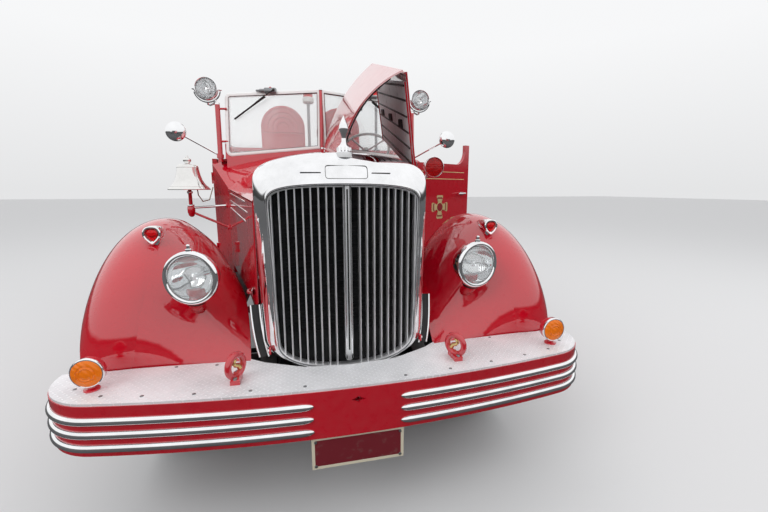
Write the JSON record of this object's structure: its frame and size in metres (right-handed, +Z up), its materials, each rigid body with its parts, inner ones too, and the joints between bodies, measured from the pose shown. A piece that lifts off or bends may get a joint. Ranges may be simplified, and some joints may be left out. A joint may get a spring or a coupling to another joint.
{
  "type": "open-cab fire engine",
  "caption": "Open-cab pumper fire engine with a tall grille, crowned fenders, V windshield, pump, reels and hose body on dual rear wheels.",
  "frame": {"origin": "on the ground, on the vehicle's centre plane, at half the overall length", "axes": "+X to the vehicle's left, -Y to its front, +Z up"},
  "size_m": [2.8394, 8.0094, 2.6198],
  "materials": {
    "amber": "amber lamp lens in a red housing",
    "bell_metal": "polished nickel plate",
    "black_paint": "semi-gloss black chassis paint",
    "chrome": "polished chrome plate with light pitting",
    "deck_plate": "raised-pattern aluminium plate",
    "glass": "flat safety glass",
    "hose_rubber": "ribbed black hose rubber",
    "iron": "grey-green engine enamel on iron",
    "leather": "black seat leather",
    "panel": "pump panel steel",
    "plate": "dark red plate with a pale edge",
    "red_paint": "glossy deep red enamel",
    "tyre": "black tyre rubber",
    "wood": "varnished ash"
  },
  "bodies": {
    "vehicle": {"bell": "bell_metal", "bumper": "red_paint", "bumper_deck": "deck_plate", "bumper_strips": "chrome", "cab_tub": "red_paint", "cowl": "red_paint", "driveline": "black_paint", "engine": "iron", "engine_aprons": "red_paint", "frame": "black_paint", "front_axle": "black_paint", "front_fenders": "red_paint", "grille": "chrome", "hand_rails": "chrome", "headlamps": "chrome", "hose_bed": "red_paint", "ladder": "wood", "leaf_springs": "black_paint", "lockers": "red_paint", "number_plate": "plate", "pump_fittings": "panel", "pump_housing": "red_paint", "radiator_core": "black_paint", "radiator_shell": "chrome", "rear_axle": "black_paint", "rear_fenders": "red_paint", "running_boards": "deck_plate", "seat_cushions": "leather", "signal_lamps": "amber", "spotlights_mirrors": "chrome", "steering_column": "black_paint", "suction_hoses": "hose_rubber", "tailboard": "deck_plate", "tow_hooks": "red_paint", "warning_lamps": "chrome", "windshield_frame": "red_paint", "windshield_glass": "glass"},
    "left_front_wheel": {"wheel_front_left": "red_paint", "tyre_front_left": "tyre"},
    "right_front_wheel": {"wheel_front_right": "red_paint", "tyre_front_right": "tyre"},
    "left_rear_wheels": {"wheels_rear_left": "red_paint", "tyres_rear_left": "tyre"},
    "right_rear_wheels": {"wheels_rear_right": "red_paint", "tyres_rear_right": "tyre"},
    "left_knuckle": {"knuckle_left": "black_paint"},
    "right_knuckle": {"knuckle_right": "black_paint"},
    "track_rod": {"tie_rod": "black_paint"},
    "driver_door": {"door_left": "red_paint"},
    "passenger_door": {"door_right": "red_paint"},
    "left_hood_top": {"hood_top_left": "red_paint"},
    "left_hood_side": {"hood_side_left": "red_paint"},
    "right_hood_top": {"hood_top_right": "red_paint"},
    "right_hood_side": {"hood_side_right": "red_paint"},
    "steering_wheel": {"steering_wheel": "black_paint"},
    "fan": {"cooling_fan": "black_paint"},
    "left_hose_reel": {"hose_reel_left": "red_paint"},
    "right_hose_reel": {"hose_reel_right": "red_paint"},
    "left_locker_door": {"locker_door_left": "red_paint"},
    "right_locker_door": {"locker_door_right": "red_paint"}
  },
  "joints": [
    {"name": "steer_left", "type": "hinge", "parent": "vehicle", "child": "left_knuckle", "pos_m": [0.83, -2.98, 0.515], "axis": [0, 0, 1], "range_deg": [-30, 30]},
    {"name": "front_wheel_spin_left", "type": "hinge", "parent": "left_knuckle", "child": "left_front_wheel", "pos_m": [0.98, -2.98, 0.515], "axis": [1, 0, 0], "continuous": true},
    {"name": "rear_wheel_spin_left", "type": "hinge", "parent": "vehicle", "child": "left_rear_wheels", "pos_m": [0.89, 1.82, 0.515], "axis": [1, 0, 0], "continuous": true},
    {"name": "steer_right", "type": "hinge", "parent": "vehicle", "child": "right_knuckle", "pos_m": [-0.83, -2.98, 0.515], "axis": [0, 0, 1], "range_deg": [-30, 30]},
    {"name": "front_wheel_spin_right", "type": "hinge", "parent": "right_knuckle", "child": "right_front_wheel", "pos_m": [-0.98, -2.98, 0.515], "axis": [1, 0, 0], "continuous": true},
    {"name": "rear_wheel_spin_right", "type": "hinge", "parent": "vehicle", "child": "right_rear_wheels", "pos_m": [-0.89, 1.82, 0.515], "axis": [1, 0, 0], "continuous": true},
    {"name": "track_rod_pivot", "type": "hinge", "parent": "left_knuckle", "child": "track_rod", "pos_m": [0.83, -2.79, 0.4], "axis": [0, 0, 1], "range_deg": [-30, 30]},
    {"name": "steering_wheel_turn", "type": "hinge", "parent": "vehicle", "child": "steering_wheel", "pos_m": [0.45, -1.74, 1.89], "axis": [0, 0.5736, 0.8192], "range_deg": [-510, 510]},
    {"name": "driver_door_hinge", "type": "hinge", "parent": "vehicle", "child": "driver_door", "pos_m": [0.884, -2.044, 1.3], "axis": [0, 0, 1], "range_deg": [-7, 63]},
    {"name": "passenger_door_hinge", "type": "hinge", "parent": "vehicle", "child": "passenger_door", "pos_m": [-0.884, -2.044, 1.3], "axis": [0, 0, 1], "range_deg": [0, 70]},
    {"name": "left_hood_hinge", "type": "hinge", "parent": "vehicle", "child": "left_hood_top", "pos_m": [0, -3.542, 1.702], "axis": [0, 0.9966, 0.0826], "range_deg": [0, 81]},
    {"name": "left_hood_side_hinge", "type": "hinge", "parent": "left_hood_top", "child": "left_hood_side", "pos_m": [0.30666, -3.59319, 2.07439], "axis": [0.0677, 0.9489, 0.3081], "range_deg": [-72, 0]},
    {"name": "right_hood_hinge", "type": "hinge", "parent": "vehicle", "child": "right_hood_top", "pos_m": [0, -3.542, 1.702], "axis": [0, 0.9966, 0.0826], "range_deg": [0, 81]},
    {"name": "right_hood_side_hinge", "type": "hinge", "parent": "right_hood_top", "child": "right_hood_side", "pos_m": [-0.4187, -3.542, 1.457], "axis": [-0.2364, 0.9704, 0.0493], "range_deg": [-72, 0]},
    {"name": "fan_spin", "type": "hinge", "parent": "vehicle", "child": "fan", "pos_m": [0, -3.4, 1.15], "axis": [0, 1, 0], "continuous": true},
    {"name": "left_reel_spin", "type": "hinge", "parent": "vehicle", "child": "left_hose_reel", "pos_m": [0.29, -0.7, 2.196], "axis": [0, 1, 0], "continuous": true},
    {"name": "right_reel_spin", "type": "hinge", "parent": "vehicle", "child": "right_hose_reel", "pos_m": [-0.33, -0.7, 2.196], "axis": [0, 1, 0], "continuous": true},
    {"name": "left_locker_hinge", "type": "hinge", "parent": "vehicle", "child": "left_locker_door", "pos_m": [1.162, 0.47, 0.5385], "axis": [0, 1, 0], "range_deg": [0, 88]},
    {"name": "right_locker_hinge", "type": "hinge", "parent": "vehicle", "child": "right_locker_door", "pos_m": [-1.162, 0.47, 0.5385], "axis": [0, 1, 0], "range_deg": [-88, 0]}
  ],
  "couplings": [
    {"joint": "steer_right", "follows": "steer_left", "ratio": 1},
    {"joint": "track_rod_pivot", "follows": "steer_left", "ratio": -1},
    {"joint": "steering_wheel_turn", "follows": "steer_left", "ratio": 17},
    {"joint": "left_hood_side_hinge", "follows": "left_hood_hinge", "ratio": -0.88889},
    {"joint": "right_hood_side_hinge", "follows": "right_hood_hinge", "ratio": -0.88889}
  ]
}
